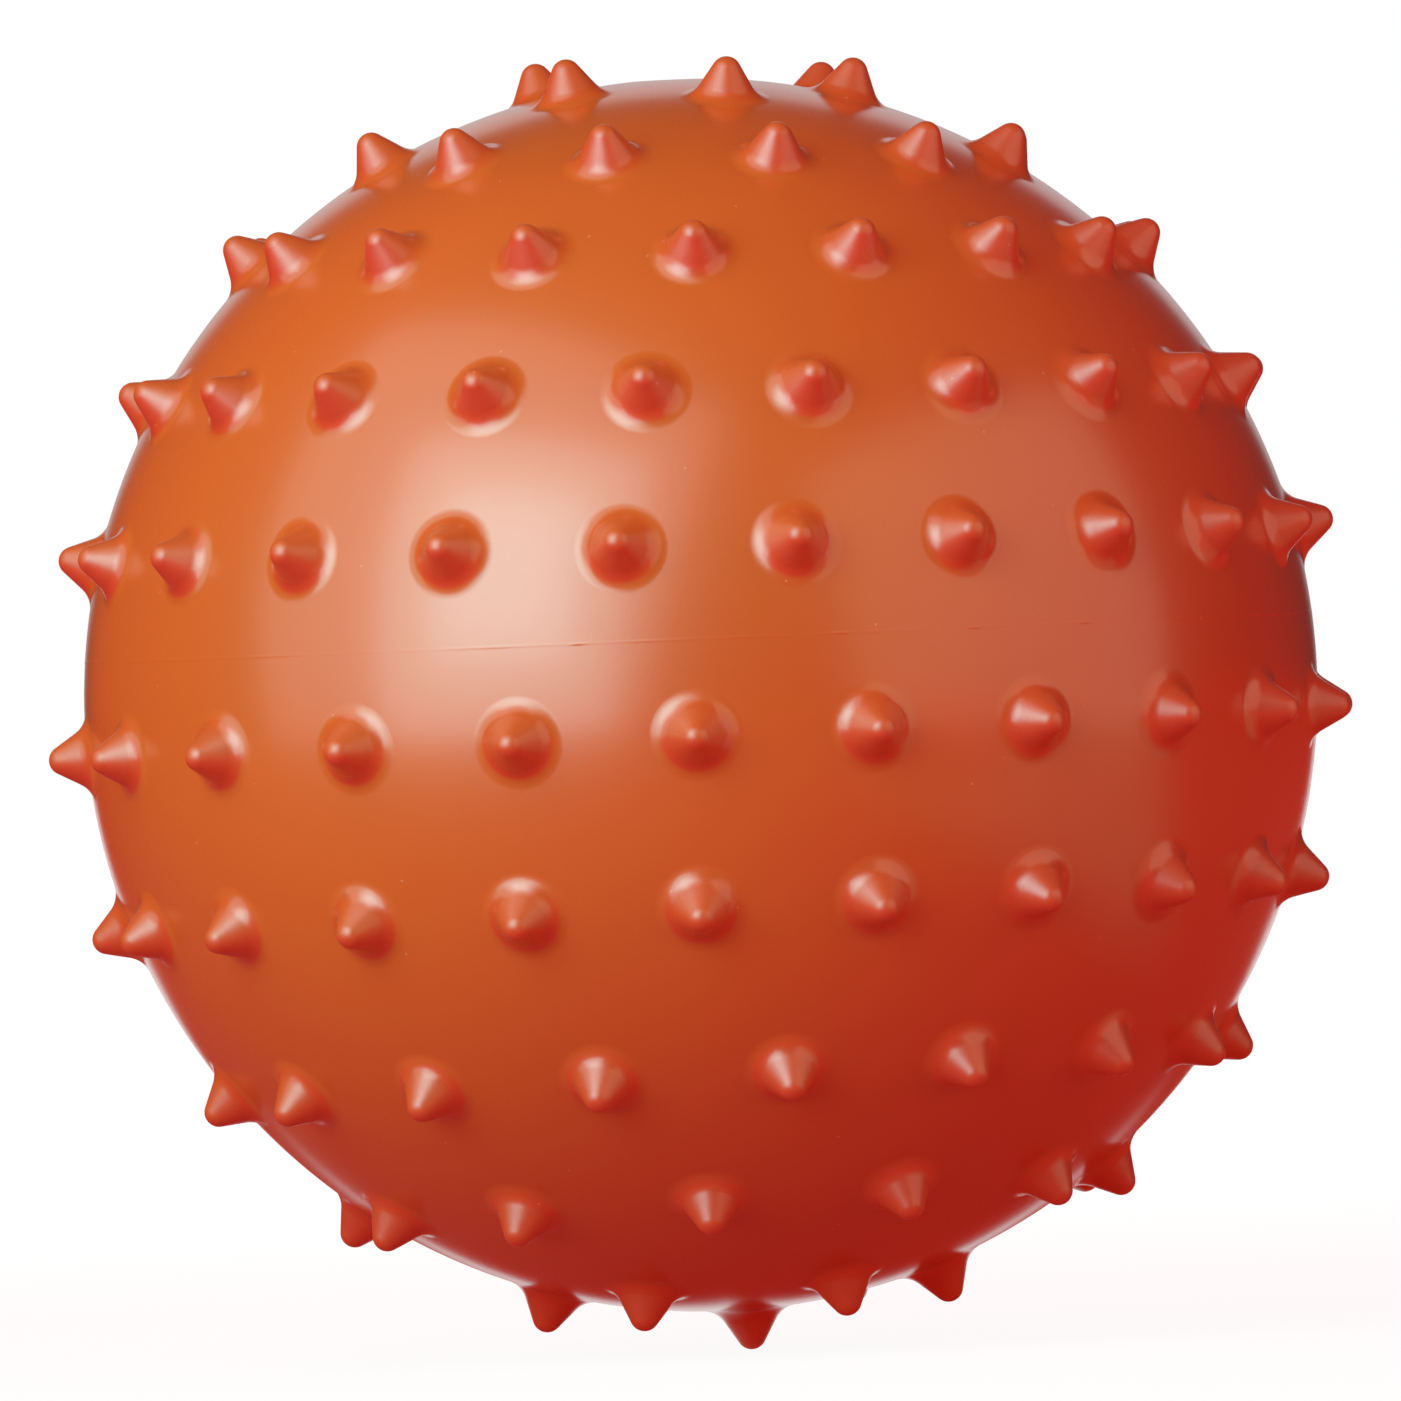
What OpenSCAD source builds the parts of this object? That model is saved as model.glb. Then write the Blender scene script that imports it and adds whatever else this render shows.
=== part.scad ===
// Soft spiky sensory ball, blown up through a small valve.
// Two halves of one vinyl skin meet at a weld seam, and each carries five rings of round-nosed knobs.
// The valve is in the middle of the upper half: a bush bonded into a collar, and a stopper that pulls out.
// The origin is on the floor under the ball's centre, at the tip of the bottom knob. +Z runs up through
// the valve, and the front, where the longitudes of the knobs start, is towards -Y.

/* [Skin] */
// Diameter of the blown-up skin, without the knobs
ball_d = 200; // [160:1:280]
// Thickness of the vinyl
skin_wall = 1.6; // [1.2:0.1:3]
// Height of the weld seam above the ball's middle
seam_rise = 9.4; // [0:0.1:12]
// Width of the flash line that stands out along the seam
flash_w = 1.2; // [0.6:0.1:2]
// Height of the flash line
flash_h = 0.25; // [0.1:0.05:0.6]

/* [Knobs] */
// Height of a knob above the skin
knob_h = 6.5; // [5:0.1:8]
// Radius of a knob's round nose
nose_r = 2.4; // [1.8:0.05:2.6]
// Radius of the rim where a knob's foot meets the skin
foot_r = 6.8; // [6.2:0.1:7.2]
// Height of the small step at that rim
foot_step = 0.08; // [0.04:0.01:0.2]
// Slope of a knob's flank above the skin, in degrees
flank_deg = 59; // [58:1:66]
// Slope of the foot just inside its rim, in degrees
foot_deg = 15; // [8:1:20]
// Distance that the knobs have drifted towards +X, because the skin stretches unevenly
knob_drift = 3.4; // [0:0.1:5]

/* [Valve] */
// Radius of the stopper's stem
stem_r = 2.5; // [2:0.1:3.5]
// Length of the stem below the stopper's head
stem_l = 9; // [6:0.5:14]
// Width of the bevel at the stem's end
stem_bevel = 0.8; // [0.3:0.1:1.5]
// Radius of the stopper's head
head_r = 5; // [4.5:0.1:7]
// Thickness of the stopper's head
head_t = 1.2; // [0.8:0.1:2]
// Width of the bevel round the head
head_bevel = 0.4; // [0.2:0.05:0.6]
// Distance of the head's top below the ball's crown
head_sink = 0.5; // [0.2:0.1:1.5]
// Gap between the stem and the bush's bore
stem_gap = 0.05; // [0.02:0.01:0.1]
// Thickness of the bush's tube
bush_wall = 1.6; // [1:0.1:2.5]
// Width of the bush's flange outside its tube
flange_w = 1.6; // [1:0.1:3]
// Thickness of the bush's flange
flange_t = 0.6; // [0.4:0.1:1.2]
// Length of the bush's tube past the stem's end, and again past the collar
bush_over = 1; // [0.5:0.1:3]
// Gap for the cement between the bush and the collar
cement_gap = 0.03; // [0.02:0.01:0.1]
// Room round the flange and the head for a fingernail
nail_gap = 1.5; // [1:0.1:3]
// Thickness of the collar outside the pocket
collar_wall = 2.2; // [1.5:0.1:4]

/* [Hidden] */

// Latitude of each ring of knobs from the seam before the skin stretches, in degrees
ring_lat = [8.7, 24.4, 41, 56.3, 73.4];
// Knobs in each ring, the same above and below the seam
ring_count = [22, 21, 17, 12, 6];
// Longitude of the first knob of each ring, in degrees from the front towards +X
upper_start = [7.5, 10.6, -1.1, 13.7, 10.7];
lower_start = [-2.5, 14.2, 5.6, -5.2, 28.6];
// Place in the upper half's last ring that carries no knob, counted from that ring's first
bare_place = 3;

skin_fn = 128;
knob_fn = 28;
valve_fn = 64;
arc_steps = 5;

vinyl_colour = [0.80, 0.27, 0.13];
valve_colour = [0.93, 0.90, 0.84];

ball_r = ball_d / 2;
inner_r = ball_r - skin_wall;
mid_wall_r = ball_r - skin_wall / 2;
seam_r = sqrt(ball_r * ball_r - seam_rise * seam_rise);

// The stretched skin has carried every knob by this share of the ball's radius
drift_share = [knob_drift / ball_r, 0, seam_rise / ball_r];
pole_dir = stretched([0, 0, -1]);
stand_h = nose_r - pole_dir.z * (ball_r + knob_h - nose_r);

cut_over = ball_r / 10;

// Profile of a knob, as radius and height above the skin on its own axis
foot_sag = ball_r - sqrt(ball_r * ball_r - foot_r * foot_r);
foot_base = -foot_sag - skin_wall / 2;
foot_rim = [foot_r, foot_step - foot_sag];
nose_end = [nose_r * sin(flank_deg), knob_h - nose_r + nose_r * cos(flank_deg)];
flank_run = 1 / tan(flank_deg);
flank_reach = nose_end.x + flank_run * nose_end.y - foot_rim.x - flank_run * foot_rim.y;
foot_turn = sin(foot_deg) - sin(flank_deg) + flank_run * (cos(foot_deg) - cos(flank_deg));
foot_arc_r = flank_reach / foot_turn;
foot_centre = foot_rim + foot_arc_r * [sin(foot_deg), cos(foot_deg)];

// The valve is stacked down from the ball's crown: head, flange, pocket floor, tube
head_top = ball_r - head_sink;
flange_top = head_top - head_t;
pocket_floor = flange_top - flange_t;
bore_r = stem_r + stem_gap;
bush_r = bore_r + bush_wall;
flange_r = bush_r + flange_w;
pocket_r = max(flange_r, head_r) + nail_gap;
collar_r = pocket_r + collar_wall;
collar_top = sqrt(mid_wall_r * mid_wall_r - collar_r * collar_r);
collar_foot = flange_top - stem_l;
bush_foot = collar_foot - bush_over;
bush_hole_r = bush_r + cement_gap;

function stretched(dir) =
    let (moved = dir + drift_share)
    moved / norm(moved);

function knob_dir(lat, lon) =
    stretched([cos(lat) * sin(lon), -cos(lat) * cos(lon), sin(lat)]);

function has_knob(side, ring, i) =
    side < 0 || ring < len(ring_lat) - 1 || i != bare_place;

// Points of an arc whose slope turns from one angle to another, seen from its hollow side
function hollow_arc(centre, radius, from_deg, to_deg) =
    [for (i = [0 : arc_steps])
        let (slope = from_deg + (to_deg - from_deg) * i / arc_steps)
        centre - radius * [sin(slope), cos(slope)]];

// The same, seen from its round side, up to the tip on the axis
function nose_arc() =
    [for (i = [0 : arc_steps])
        let (slope = flank_deg * (1 - i / arc_steps))
        [nose_r * sin(slope), knob_h - nose_r + nose_r * cos(slope)]];

module knob() {
    foot = hollow_arc(foot_centre, foot_arc_r, foot_deg, flank_deg);
    rotate_extrude($fn = knob_fn)
        polygon(concat([[0, foot_base], [foot_r, foot_base]], foot, nose_arc()));
}

// Stands a shape that is drawn above the crown on the skin in the given direction
module on_skin(dir) {
    rotate([0, acos(dir.z), atan2(dir.y, dir.x)])
        translate([0, 0, ball_r])
            children();
}

// All the rings of one half: side is 1 above the seam and -1 below it
module knob_rings(side, start) {
    for (ring = [0 : len(ring_lat) - 1])
        for (i = [0 : ring_count[ring] - 1])
            if (has_knob(side, ring, i))
                on_skin(knob_dir(side * ring_lat[ring], start[ring] + 360 * i / ring_count[ring]))
                    knob();
}

// Half of the hollow skin: side is 1 above the seam and -1 below it
module half_skin(side) {
    cut_d = ball_d + 2 * cut_over;
    cut_foot = side > 0 ? seam_rise - cut_d : seam_rise;
    difference() {
        sphere(r = ball_r, $fn = skin_fn);
        sphere(r = inner_r, $fn = skin_fn);
        translate([-cut_d / 2, -cut_d / 2, cut_foot])
            cube(cut_d);
    }
}

// The half of the flash line that belongs to one half of the skin
module flash(side) {
    translate([0, 0, seam_rise])
        rotate_extrude($fn = skin_fn)
            polygon([
                [seam_r - skin_wall / 2, 0],
                [seam_r + flash_h, 0],
                [seam_r + flash_h, side * flash_w / 4],
                [seam_r - skin_wall / 2, side * flash_w / 2]]);
}

// Thick ring inside the crown that the bush is bonded into
module collar() {
    translate([0, 0, collar_foot])
        cylinder(r = collar_r, h = collar_top - collar_foot, $fn = valve_fn);
}

// Pocket round the stopper's head, and the hole for the bush
module valve_seat() {
    translate([0, 0, pocket_floor])
        cylinder(r = pocket_r, h = head_sink + head_t + flange_t + cut_over, $fn = valve_fn);
    translate([0, 0, collar_foot - cut_over])
        cylinder(r = bush_hole_r, h = ball_r - collar_foot + cut_over, $fn = valve_fn);
}

module upper_half() {
    color(vinyl_colour)
        translate([0, 0, stand_h])
            difference() {
                union() {
                    half_skin(1);
                    flash(1);
                    knob_rings(1, upper_start);
                    collar();
                }
                valve_seat();
            }
}

module lower_half() {
    color(vinyl_colour)
        translate([0, 0, stand_h])
            union() {
                half_skin(-1);
                flash(-1);
                knob_rings(-1, lower_start);
                on_skin(pole_dir)
                    knob();
            }
}

module valve_bush() {
    color(valve_colour)
        translate([0, 0, stand_h])
            difference() {
                union() {
                    translate([0, 0, pocket_floor])
                        cylinder(r = flange_r, h = flange_t, $fn = valve_fn);
                    translate([0, 0, bush_foot])
                        cylinder(r = bush_r, h = pocket_floor - bush_foot, $fn = valve_fn);
                }
                translate([0, 0, bush_foot - cut_over])
                    cylinder(r = bore_r, h = flange_top - bush_foot + 2 * cut_over, $fn = valve_fn);
            }
}

module valve_stopper() {
    color(valve_colour)
        translate([0, 0, stand_h + flange_top])
            rotate_extrude($fn = valve_fn)
                polygon([
                    [0, head_t],
                    [0, -stem_l],
                    [stem_r - stem_bevel, -stem_l],
                    [stem_r, stem_bevel - stem_l],
                    [stem_r, 0],
                    [head_r, 0],
                    [head_r, head_t - head_bevel],
                    [head_r - head_bevel, head_t]]);
}

upper_half();
lower_half();
valve_bush();
valve_stopper();
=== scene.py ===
"""Soft knobbed sensory ball: a moulded vinyl skin in two halves, with a bush and a stopper in its crown."""

import logging
import math
from dataclasses import dataclass, field
from enum import Enum

import bpy
import numpy as np
from mathutils import Matrix, Vector, geometry


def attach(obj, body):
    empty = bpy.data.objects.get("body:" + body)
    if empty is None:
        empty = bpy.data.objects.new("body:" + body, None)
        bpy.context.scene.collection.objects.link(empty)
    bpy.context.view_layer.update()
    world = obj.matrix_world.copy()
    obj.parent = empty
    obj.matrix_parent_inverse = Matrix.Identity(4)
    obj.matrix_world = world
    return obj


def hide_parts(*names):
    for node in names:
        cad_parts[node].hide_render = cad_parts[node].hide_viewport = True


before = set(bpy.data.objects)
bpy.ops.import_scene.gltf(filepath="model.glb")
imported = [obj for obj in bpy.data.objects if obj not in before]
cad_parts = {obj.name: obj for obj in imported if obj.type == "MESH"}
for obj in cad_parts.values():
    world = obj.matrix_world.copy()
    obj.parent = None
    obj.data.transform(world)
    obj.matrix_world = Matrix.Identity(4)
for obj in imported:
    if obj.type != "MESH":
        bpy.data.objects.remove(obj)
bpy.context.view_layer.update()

LOG = logging.getLogger("sensory_ball")
MM = 0.001
UP = np.array([0.0, 0.0, 1.0])

Rows = np.ndarray  # one item a row
Colour = tuple[float, float, float, float]
Span = tuple[float, float]  # start and end
Noise = tuple[float, float]  # scale and detail
Piece = bpy.types.Object
Socket = bpy.types.NodeSocket


class Side(Enum):
    """The two halves of the skin, with their sign along +Z."""

    UPPER = 1
    LOWER = -1


class Slot(Enum):
    """Material slots of the record."""

    ORANGE = "orange_vinyl"
    VALVE = "valve_vinyl"


# Sizes


@dataclass(frozen=True)
class SkinSizes:
    """Sizes of the blown-up skin and its rings of knobs, in millimetres and degrees."""

    ball_r: float = 100.0
    wall: float = 1.6
    seam_rise: float = 9.4
    drift: float = 3.4
    ring_lat: tuple[float, ...] = (8.7, 24.4, 41.0, 56.3, 73.4)
    ring_count: tuple[int, ...] = (22, 21, 17, 12, 6)
    upper_start: tuple[float, ...] = (7.5, 10.6, -1.1, 13.7, 10.7)
    lower_start: tuple[float, ...] = (-2.5, 14.2, 5.6, -5.2, 28.6)
    bare_place: int = 3

    @property
    def inner_r(self) -> float:
        """Radius of the skin's inside."""
        return self.ball_r - self.wall

    @property
    def seam_polar(self) -> float:
        """Angle of the seam from the crown, in radians."""
        return math.acos(self.seam_rise / self.ball_r)

    def stretched(self, direction: Rows) -> Rows:
        """Moves a unit vector from the ball's centre by the skin's uneven stretch."""
        moved = direction + np.array([self.drift, 0.0, self.seam_rise]) / self.ball_r
        return moved / np.linalg.norm(moved)

    def knob_axes(self, side: Side) -> Rows:
        """Directions of all knobs of one half.

        Args:
            side: the half.

        Returns:
            One unit vector a row.
        """
        starts = self.upper_start if side is Side.UPPER else self.lower_start
        last = len(self.ring_lat) - 1
        axes = []
        for ring, (lat, count, start) in enumerate(zip(self.ring_lat, self.ring_count, starts)):
            high = math.radians(side.value * lat)
            for i in range(count):
                if side is Side.UPPER and ring == last and i == self.bare_place:
                    continue
                turn = math.radians(start + 360.0 * i / count)
                level = [math.cos(high) * math.sin(turn), -math.cos(high) * math.cos(turn), math.sin(high)]
                axes.append(self.stretched(np.array(level)))
        if side is Side.LOWER:
            axes.append(self.pole())
        return np.array(axes)

    def pole(self) -> Rows:
        """Direction of the knob that the ball stands on."""
        return self.stretched(-UP)


@dataclass(frozen=True)
class KnobSizes:
    """Profile of a round-nosed knob whose foot runs into the skin, in millimetres and degrees."""

    height: float = 6.5
    nose_r: float = 2.4
    foot_r: float = 7.6
    flank_deg: float = 59.0
    fillet_steps: int = 9
    flank_steps: int = 2
    nose_steps: int = 6
    segments: int = 36

    def profile(self, ball_r: float) -> tuple[Rows, Rows]:
        """Points of the profile from the foot to the tip.

        Args:
            ball_r: radius of the skin under the knob.

        Returns:
            The points as radius and height above the crown, and the slope at each in radians.
        """
        flank = math.radians(self.flank_deg)
        foot = math.asin(self.foot_r / ball_r)
        across = np.array([math.sin(flank), math.cos(flank)])
        nose = np.array([0.0, self.height - self.nose_r])
        nose_end = nose + self.nose_r * across
        start = np.array([ball_r * math.sin(foot), ball_r * (math.cos(foot) - 1.0)])
        fillet_r = float((start - nose_end) @ across) / (1.0 - math.cos(flank - foot))
        centre = start + fillet_r * np.array([math.sin(foot), math.cos(foot)])
        slopes = list(np.linspace(foot, flank, self.fillet_steps + 1))
        points = [centre - fillet_r * np.array([math.sin(s), math.cos(s)]) for s in slopes]
        flank_foot = points[-1]
        for i in range(1, self.flank_steps):
            points.append(flank_foot + (nose_end - flank_foot) * i / self.flank_steps)
            slopes.append(flank)
        for s in np.linspace(flank, 0.0, self.nose_steps + 1):
            points.append(nose + self.nose_r * np.array([math.sin(s), math.cos(s)]))
            slopes.append(float(s))
        return np.array(points), np.array(slopes)


@dataclass(frozen=True)
class SeamSizes:
    """The fine flash line left along the mould's joint, in millimetres, and how unevenly it is worn."""

    rise: float = 0.05
    reach: float = 0.4
    rows: tuple[float, ...] = (0.0, 0.13, 0.26, 0.4, 1.1)
    segments: int = 360
    seed: int = 11
    usual: float = 0.45
    waves: tuple[int, ...] = (3, 7, 12, 19, 31, 47, 83)
    wave_share: Span = (0.05, 0.16)
    wave_phase: Span = (0.0, 6.28)
    nicks: int = 26
    lowest: float = 0.05
    highest: float = 1.6

    def heights(self) -> Rows:
        """Works out how high the flash is round the seam, worn uneven and nicked.

        Returns:
            The height at each place.
        """
        rng = np.random.default_rng(self.seed)
        turn = full_turn(self.segments)
        worn = np.full(self.segments, self.usual)
        for wave in self.waves:
            worn += rng.uniform(*self.wave_share) * np.sin(wave * turn + rng.uniform(*self.wave_phase))
        for place in rng.integers(0, self.segments, self.nicks):
            worn[place] = rng.choice([0.0, self.highest])
        return self.rise * np.clip(worn, self.lowest, self.highest)


@dataclass(frozen=True)
class ValveSizes:
    """The bush and stopper in the crown, as radii and heights above the ball's centre, in millimetres.

    A name that ends in round is the rounding of that edge.
    """

    stem_r: float = 2.5
    stem_gap: float = 0.05
    stem_l: float = 9.0
    stem_bevel: float = 0.8
    stem_round: float = 0.3
    tip_round: float = 0.2
    head_r: float = 5.0
    head_t: float = 1.2
    head_top: float = 99.5
    head_round: float = 0.4
    head_foot_round: float = 0.2
    rim_inset: float = 1.3
    rim_round: float = 0.3
    dish_inset: float = 1.9
    dish_depth: float = 0.35
    dish_round: float = 0.5
    bush_wall: float = 1.6
    bush_over: float = 1.0
    bush_foot_round: float = 0.35
    bore_round: float = 0.2
    flange_w: float = 1.6
    flange_t: float = 0.6
    flange_round: float = 0.25
    flange_foot_round: float = 0.05
    cement_gap: float = 0.03
    nail_gap: float = 1.5
    lip_w: float = 0.4
    lip_drop: float = 0.05
    lip_round: float = 0.25
    floor_round: float = 0.3
    collar_wall: float = 2.2
    collar_round: float = 0.6
    segments: int = 64

    @property
    def flange_top(self) -> float:
        """Height of the bush's flange, under the stopper's head."""
        return self.head_top - self.head_t

    @property
    def pocket_floor(self) -> float:
        """Height of the floor of the pocket in the skin."""
        return self.flange_top - self.flange_t

    @property
    def bore_r(self) -> float:
        """Radius of the bush's bore."""
        return self.stem_r + self.stem_gap

    @property
    def bush_r(self) -> float:
        """Outside radius of the bush's tube."""
        return self.bore_r + self.bush_wall

    @property
    def hole_r(self) -> float:
        """Radius of the hole in the collar that the bush is bonded into."""
        return self.bush_r + self.cement_gap

    @property
    def flange_r(self) -> float:
        """Radius of the bush's flange."""
        return self.bush_r + self.flange_w

    @property
    def pocket_r(self) -> float:
        """Radius of the pocket round the flange and the head."""
        return max(self.flange_r, self.head_r) + self.nail_gap

    @property
    def mouth_r(self) -> float:
        """Radius at which the skin starts to turn down into the pocket."""
        return self.pocket_r + self.lip_w

    @property
    def collar_r(self) -> float:
        """Outside radius of the collar inside the ball."""
        return self.pocket_r + self.collar_wall

    @property
    def collar_foot(self) -> float:
        """Height of the collar's underside inside the ball."""
        return self.flange_top - self.stem_l

    @property
    def bush_foot(self) -> float:
        """Height of the lower end of the bush."""
        return self.collar_foot - self.bush_over


# Meshes


def full_turn(segments: int) -> Rows:
    """Angles of the even steps of a full turn, in radians."""
    return np.arange(segments) * 2.0 * math.pi / segments


def level_rows(turn: Rows) -> Rows:
    """Level unit vectors away from the ball's axis, one a row, at the given angles in radians."""
    return np.stack([np.cos(turn), np.sin(turn), np.zeros(len(turn))], 1)


def unit_rows(vectors: Rows) -> Rows:
    """Brings vectors, one a row, to unit length."""
    return vectors / np.linalg.norm(vectors, axis=1)[:, None]


def other_leg(ball_r: float, leg: float) -> float:
    """Height of a ball's surface at a distance from its axis, or that distance at a height."""
    return math.sqrt(ball_r ** 2 - leg ** 2)


def fibonacci(count: int) -> Rows:
    """Even directions all round a ball.

    Args:
        count: how many.

    Returns:
        One unit vector a row.
    """
    i = np.arange(count)
    z = 1.0 - (2.0 * i + 1.0) / count
    turn = i * math.pi * (3.0 - math.sqrt(5.0))
    r = np.sqrt(1.0 - z * z)
    return np.stack([r * np.cos(turn), r * np.sin(turn), z], axis=1)


def cross_axes(axis: Rows) -> tuple[Rows, Rows]:
    """Two unit vectors square to an axis and to each other.

    Args:
        axis: unit vector.

    Returns:
        The two vectors.
    """
    nearly_upright = 0.9
    near = UP if abs(axis[2]) < nearly_upright else np.array([1.0, 0.0, 0.0])
    u = np.cross(near, axis)
    u /= np.linalg.norm(u)
    return u, np.cross(axis, u)


def sign_up(normals: Rows) -> Rows:
    """Straight up or down, as the normals round a tip lean on the whole."""
    return np.array([0.0, 0.0, math.copysign(1.0, float(normals[:, 2].sum()))])


def rounded(corners: list[tuple[float, float, float]], steps: int = 4) -> list[tuple[float, float]]:
    """Rounds the corners of an open profile.

    Args:
        corners: radius, height and rounding of each corner; the ends aren't rounded.
        steps: pieces of each rounding.

    Returns:
        The profile's points.
    """
    made = [corners[0][:2]]
    for before, corner, after in zip(corners, corners[1:], corners[2:]):
        here = np.array(corner[:2])
        if corner[2] <= 0.0:
            made.append(tuple(here))
            continue
        a = np.array(before[:2]) - here
        b = np.array(after[:2]) - here
        a, b = a / np.linalg.norm(a), b / np.linalg.norm(b)
        half = math.acos(max(-1.0, min(1.0, float(a @ b)))) / 2.0
        reach = corner[2] / math.tan(half)
        start, end = here + a * reach, here + b * reach
        for k in range(steps + 1):
            t = k / steps
            curve = (1.0 - t) ** 2 * start + 2.0 * t * (1.0 - t) * here + t * t * end
            made.append((float(curve[0]), float(curve[1])))
    made.append(corners[-1][:2])
    return made


def triangulate(directions: Rows, loops: list[Rows], pole: float) -> Rows:
    """Joins points on a ball into triangles, seen flat from the far pole.

    Args:
        directions: unit vectors of the points.
        loops: rings of points that triangles may not cross, as rows of directions.
        pole: 1 or -1, the side of the ball that the points are on.

    Returns:
        Three rows of directions for each triangle.
    """
    as_one = 1e-7
    flat = directions[:, :2] / (1.0 + pole * directions[:, 2])[:, None]
    edges = [(int(a), int(b)) for loop in loops for a, b in zip(loop, np.roll(loop, -1))]
    made = geometry.delaunay_2d_cdt([Vector(p) for p in flat.tolist()], edges, [], 0, as_one, True)
    back = [ids[0] for ids in made[3]]
    return np.array([[back[i] for i in face] for face in made[2] if len(face) == 3])


@dataclass
class Shell:
    """Gathers the points, triangles and corner normals of one closed piece, in millimetres.

    Only centre_z, the height of the ball's centre, is in metres.
    """

    ON_AXIS = 1e-6
    GENTLE_DEG = 42.0

    name: str
    centre_z: float
    points: list[Rows] = field(default_factory=list)
    rises: list[Rows] = field(default_factory=list)
    triangles: list[Rows] = field(default_factory=list)
    normals: list[Rows] = field(default_factory=list)
    count: int = 0

    def add_points(self, points: Rows, rise: float = 0.0) -> Rows:
        """Adds points.

        Args:
            points: one a row, from the ball's centre.
            rise: height up a knob that they share.

        Returns:
            Their numbers.
        """
        numbers = np.arange(self.count, self.count + len(points))
        self.points.append(points)
        self.rises.append(np.full(len(points), rise))
        self.count += len(points)
        return numbers

    def add_triangles(self, triangles: Rows, normals: Rows) -> None:
        """Adds triangles and turns each to face along its normals.

        Args:
            triangles: three point numbers a row.
            normals: the normal at each corner, three by three a row.
        """
        place = np.concatenate(self.points)
        a, b, c = (place[triangles[:, i]] for i in range(3))
        inside_out = np.einsum("ij,ij->i", np.cross(b - a, c - a), normals.sum(axis=1)) < 0.0
        triangles, normals = triangles.copy(), normals.copy()
        triangles[inside_out] = triangles[inside_out][:, ::-1]
        normals[inside_out] = normals[inside_out][:, ::-1]
        self.triangles.append(triangles)
        self.normals.append(normals)

    def add_strip(self, low: Rows, high: Rows, low_n: Rows, high_n: Rows) -> None:
        """Joins two rings of equal count.

        Args:
            low: numbers of the first ring.
            high: numbers of the second ring.
            low_n: normals along the first ring.
            high_n: normals along the second ring.
        """
        low_next, high_next = np.roll(low, -1), np.roll(high, -1)
        ln_next, hn_next = np.roll(low_n, -1, axis=0), np.roll(high_n, -1, axis=0)
        self.add_triangles(
            np.concatenate([np.stack([low, low_next, high_next], 1), np.stack([low, high_next, high], 1)]),
            np.concatenate([np.stack([low_n, ln_next, hn_next], 1), np.stack([low_n, hn_next, high_n], 1)]))

    def add_fan(self, ring: Rows, tip: int, ring_n: Rows, tip_n: Rows) -> None:
        """Closes a ring with one point.

        Args:
            ring: numbers of the ring.
            tip: number of the point.
            ring_n: normals along the ring.
            tip_n: normal at the point.
        """
        middle = np.full(len(ring), tip)
        middle_n = np.tile(tip_n, (len(ring), 1))
        self.add_triangles(
            np.stack([ring, np.roll(ring, -1), middle], 1),
            np.stack([ring_n, np.roll(ring_n, -1, axis=0), middle_n], 1))

    def add_lathe(self, profile: list[tuple[float, float]], segments: int, closed: bool = False,
                  first: Rows | None = None, flip: bool = False) -> tuple[Rows, Rows]:
        """Turns a profile about the ball's axis, smooth where it bends gently.

        Args:
            profile: radius and height of each point, walked with the material on the right.
            segments: steps of a full turn.
            closed: whether the last point joins the first.
            first: numbers of an existing ring to start on.
            flip: whether the material is on the left instead.

        Returns:
            The numbers of the first and last rings.
        """
        spots = np.array(profile)
        pairs = [(i, i + 1) for i in range(len(spots) - 1)] + ([(len(spots) - 1, 0)] if closed else [])
        out = level_rows(full_turn(segments))
        sign = -1.0 if flip else 1.0
        flats = []
        for i, j in pairs:
            step = (spots[j] - spots[i]) / np.linalg.norm(spots[j] - spots[i])
            flats.append(sign * np.array([-step[1], step[0]]))
        rings = []
        for k, (r, z) in enumerate(spots):
            if k == 0 and first is not None:
                rings.append(first)
            elif r < self.ON_AXIS:
                rings.append(self.add_points(np.array([[0.0, 0.0, z]])))
            else:
                rings.append(self.add_points(r * out + z * UP))
        gentle = math.cos(math.radians(self.GENTLE_DEG))
        for n, (i, j) in enumerate(pairs):
            before = flats[n - 1] if (n > 0 or closed) else flats[n]
            after = flats[(n + 1) % len(pairs)] if (n + 1 < len(pairs) or closed) else flats[n]
            ends = []
            for other in (before, after):
                mean = flats[n] + other if float(flats[n] @ other) > gentle else flats[n]
                mean = mean / np.linalg.norm(mean)
                ends.append(mean[0] * out + mean[1] * UP)
            if len(rings[i]) == 1:
                self.add_fan(rings[j], int(rings[i][0]), ends[1], sign_up(ends[0]))
            elif len(rings[j]) == 1:
                self.add_fan(rings[i], int(rings[j][0]), ends[0], sign_up(ends[1]))
            else:
                self.add_strip(rings[i], rings[j], ends[0], ends[1])
        return rings[0], rings[-1]

    def build(self) -> Piece:
        """Makes the mesh.

        Returns:
            The Blender object.
        """
        place = np.concatenate(self.points) * MM + np.array([0.0, 0.0, self.centre_z])
        triangles = np.concatenate(self.triangles)
        mesh = bpy.data.meshes.new(self.name)
        mesh.from_pydata(place.tolist(), [], triangles.tolist())
        mesh.polygons.foreach_set("use_smooth", np.ones(len(triangles), dtype=bool))
        rise = mesh.attributes.new("knob_rise", "FLOAT", "POINT")
        rise.data.foreach_set("value", np.concatenate(self.rises))
        mesh.update()
        mesh.normals_split_custom_set(np.concatenate(self.normals).reshape(-1, 3).tolist())
        made = bpy.data.objects.new(self.name, mesh)
        bpy.context.scene.collection.objects.link(made)
        return made


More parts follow.
